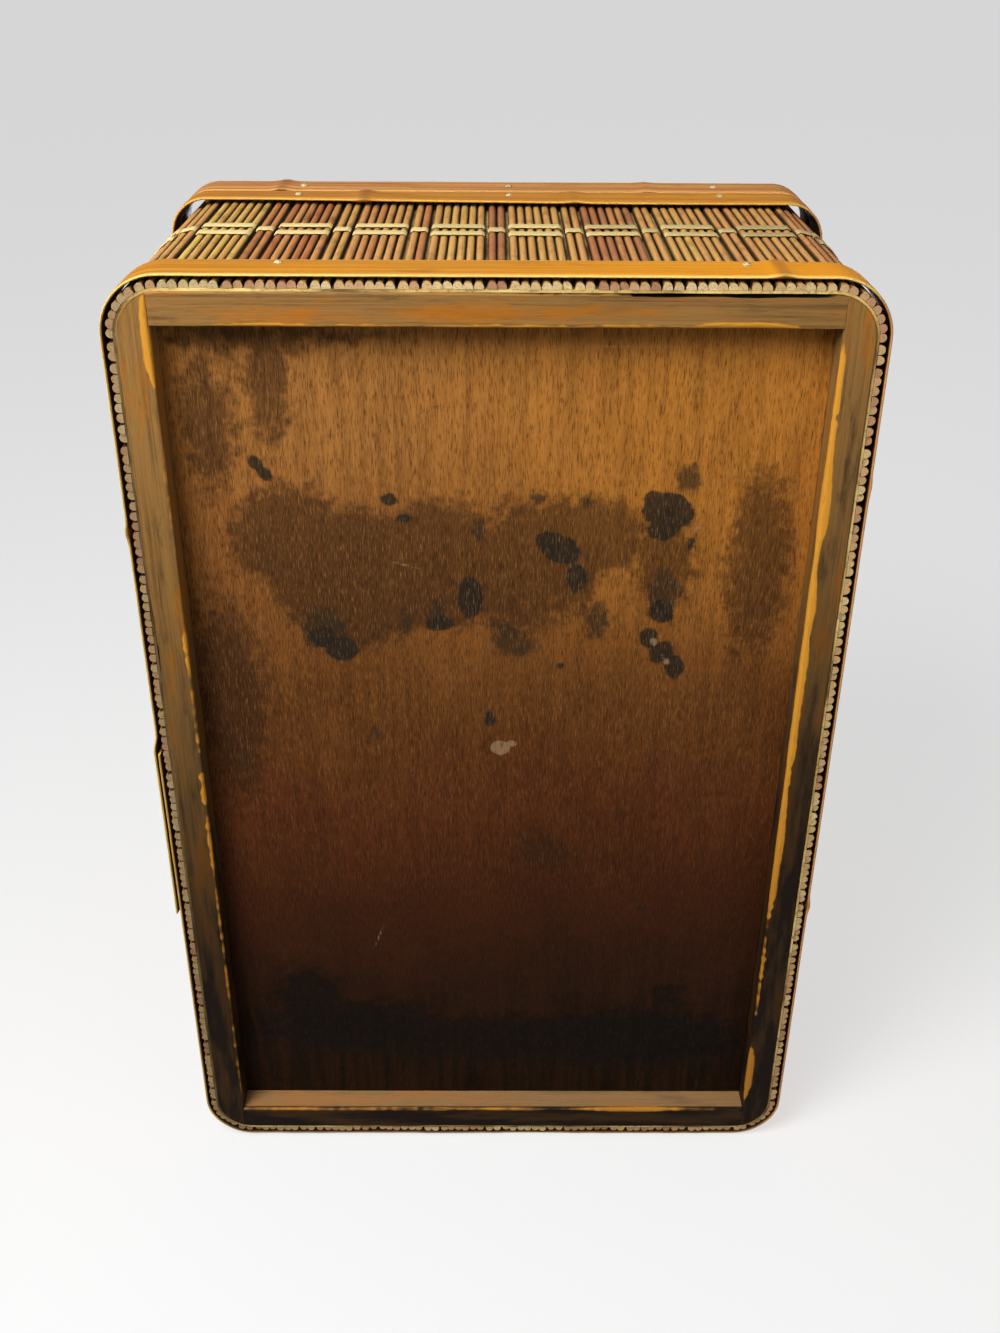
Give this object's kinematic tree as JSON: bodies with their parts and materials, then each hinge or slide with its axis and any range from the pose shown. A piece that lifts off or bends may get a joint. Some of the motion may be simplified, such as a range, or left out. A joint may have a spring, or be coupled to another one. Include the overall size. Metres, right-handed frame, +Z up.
{
  "type": "tambour lid box",
  "caption": "Low board box clad in split reeds, bound with bamboo bands, with a recessed underside and a reed tambour lid on cloth that rolls back to one end.",
  "frame": {"origin": "middle of the underside, on the surface that the box rests on", "axes": "+X across the width, +Y along the length to the end where the lid opens, +Z up"},
  "size_m": [0.2573, 0.3826, 0.1618],
  "materials": {
    "board_wood": "worn waxed softwood",
    "panel_wood": "stained thin board",
    "pale_liner": "thin pale veneer",
    "split_reed": "split reed, smoked and varnished",
    "cane": "flat cane, unvarnished",
    "bamboo_band": "split bamboo, amber varnish",
    "rail_wood": "stained wood, satin varnish",
    "backing_cloth": "plain woven cotton",
    "brass_tack": "dulled brass",
    "iron_nail": "oxidised wire nail"
  },
  "bodies": {
    "box": {"side_board_left": "board_wood", "side_board_right": "board_wood", "end_board_front": "board_wood", "end_board_back": "board_wood", "bottom_panel": "panel_wood", "board_nails": "iron_nail", "wall_liner": "pale_liner", "reeds_left": "split_reed", "reeds_right": "split_reed", "reeds_front": "split_reed", "reeds_back": "split_reed", "cane_ties_left": "cane", "cane_ties_right": "cane", "cane_ties_front": "cane", "cane_ties_back": "cane", "bottom_band": "bamboo_band", "rim_band_lower": "bamboo_band", "rim_band_upper": "bamboo_band", "bottom_tacks": "brass_tack", "rim_tacks_lower": "brass_tack", "rim_tacks_upper": "brass_tack", "lid_back_rail": "rail_wood", "lid_cloth_back_hem": "backing_cloth", "lid_rail_nails": "brass_tack"},
    "mat_01": {"lid_slat_01": "split_reed", "lid_slat_02": "split_reed"},
    "mat_02": {"lid_slat_03": "split_reed", "lid_slat_04": "split_reed"},
    "mat_03": {"lid_slat_05": "split_reed", "lid_slat_06": "split_reed"},
    "mat_04": {"lid_slat_07": "split_reed", "lid_slat_08": "split_reed"},
    "mat_05": {"lid_slat_09": "split_reed", "lid_slat_10": "split_reed"},
    "mat_06": {"lid_slat_11": "split_reed", "lid_slat_12": "split_reed"},
    "mat_07": {"lid_slat_13": "split_reed", "lid_slat_14": "split_reed"},
    "mat_08": {"lid_slat_15": "split_reed", "lid_slat_16": "split_reed"},
    "mat_09": {"lid_slat_17": "split_reed", "lid_slat_18": "split_reed"},
    "mat_10": {"lid_slat_19": "split_reed", "lid_slat_20": "split_reed"},
    "mat_11": {"lid_slat_21": "split_reed", "lid_slat_22": "split_reed"},
    "mat_12": {"lid_slat_23": "split_reed"},
    "lead_rail": {"lid_lead_rail": "rail_wood", "lid_cloth_lead_hem": "backing_cloth", "pull_knob": "rail_wood", "knob_screw": "brass_tack"}
  },
  "joints": [
    {"name": "hinge_01", "type": "hinge", "parent": "box", "child": "mat_01", "pos_m": [0, -0.16787, 0.1496], "axis": [1, 0, 0], "range_deg": [0, 29.8]},
    {"name": "hinge_02", "type": "hinge", "parent": "mat_01", "child": "mat_02", "pos_m": [0, -0.13926, 0.1496], "axis": [1, 0, 0], "range_deg": [0, 38.42]},
    {"name": "hinge_03", "type": "hinge", "parent": "mat_02", "child": "mat_03", "pos_m": [0, -0.11065, 0.1496], "axis": [1, 0, 0], "range_deg": [0, 39.68]},
    {"name": "hinge_04", "type": "hinge", "parent": "mat_03", "child": "mat_04", "pos_m": [0, -0.08204, 0.1496], "axis": [1, 0, 0], "range_deg": [0, 41.07]},
    {"name": "hinge_05", "type": "hinge", "parent": "mat_04", "child": "mat_05", "pos_m": [0, -0.05343, 0.1496], "axis": [1, 0, 0], "range_deg": [0, 42.62]},
    {"name": "hinge_06", "type": "hinge", "parent": "mat_05", "child": "mat_06", "pos_m": [0, -0.02482, 0.1496], "axis": [1, 0, 0], "range_deg": [0, 44.36]},
    {"name": "hinge_07", "type": "hinge", "parent": "mat_06", "child": "mat_07", "pos_m": [0, 0.00379, 0.1496], "axis": [1, 0, 0], "range_deg": [0, 46.33]},
    {"name": "hinge_08", "type": "hinge", "parent": "mat_07", "child": "mat_08", "pos_m": [0, 0.0324, 0.1496], "axis": [1, 0, 0], "range_deg": [0, 48.59]},
    {"name": "hinge_09", "type": "hinge", "parent": "mat_08", "child": "mat_09", "pos_m": [0, 0.06101, 0.1496], "axis": [1, 0, 0], "range_deg": [0, 51.22]},
    {"name": "hinge_10", "type": "hinge", "parent": "mat_09", "child": "mat_10", "pos_m": [0, 0.08962, 0.1496], "axis": [1, 0, 0], "range_deg": [0, 54.32]},
    {"name": "hinge_11", "type": "hinge", "parent": "mat_10", "child": "mat_11", "pos_m": [0, 0.11823, 0.1496], "axis": [1, 0, 0], "range_deg": [0, 58.07]},
    {"name": "hinge_12", "type": "hinge", "parent": "mat_11", "child": "mat_12", "pos_m": [0, 0.14684, 0.1496], "axis": [1, 0, 0], "range_deg": [0, 54.41]},
    {"name": "hinge_13", "type": "hinge", "parent": "mat_12", "child": "lead_rail", "pos_m": [0, 0.16787, 0.1496], "axis": [1, 0, 0], "range_deg": [0, 36.02]}
  ],
  "couplings": [
    {"joint": "hinge_02", "follows": "hinge_01", "ratio": 1.2885},
    {"joint": "hinge_03", "follows": "hinge_01", "ratio": 1.3307},
    {"joint": "hinge_04", "follows": "hinge_01", "ratio": 1.3774},
    {"joint": "hinge_05", "follows": "hinge_01", "ratio": 1.4293},
    {"joint": "hinge_06", "follows": "hinge_01", "ratio": 1.4877},
    {"joint": "hinge_07", "follows": "hinge_01", "ratio": 1.5538},
    {"joint": "hinge_08", "follows": "hinge_01", "ratio": 1.6296},
    {"joint": "hinge_09", "follows": "hinge_01", "ratio": 1.7177},
    {"joint": "hinge_10", "follows": "hinge_01", "ratio": 1.8218},
    {"joint": "hinge_11", "follows": "hinge_01", "ratio": 1.9474},
    {"joint": "hinge_12", "follows": "hinge_01", "ratio": 1.8248},
    {"joint": "hinge_13", "follows": "hinge_01", "ratio": 1.2079}
  ]
}
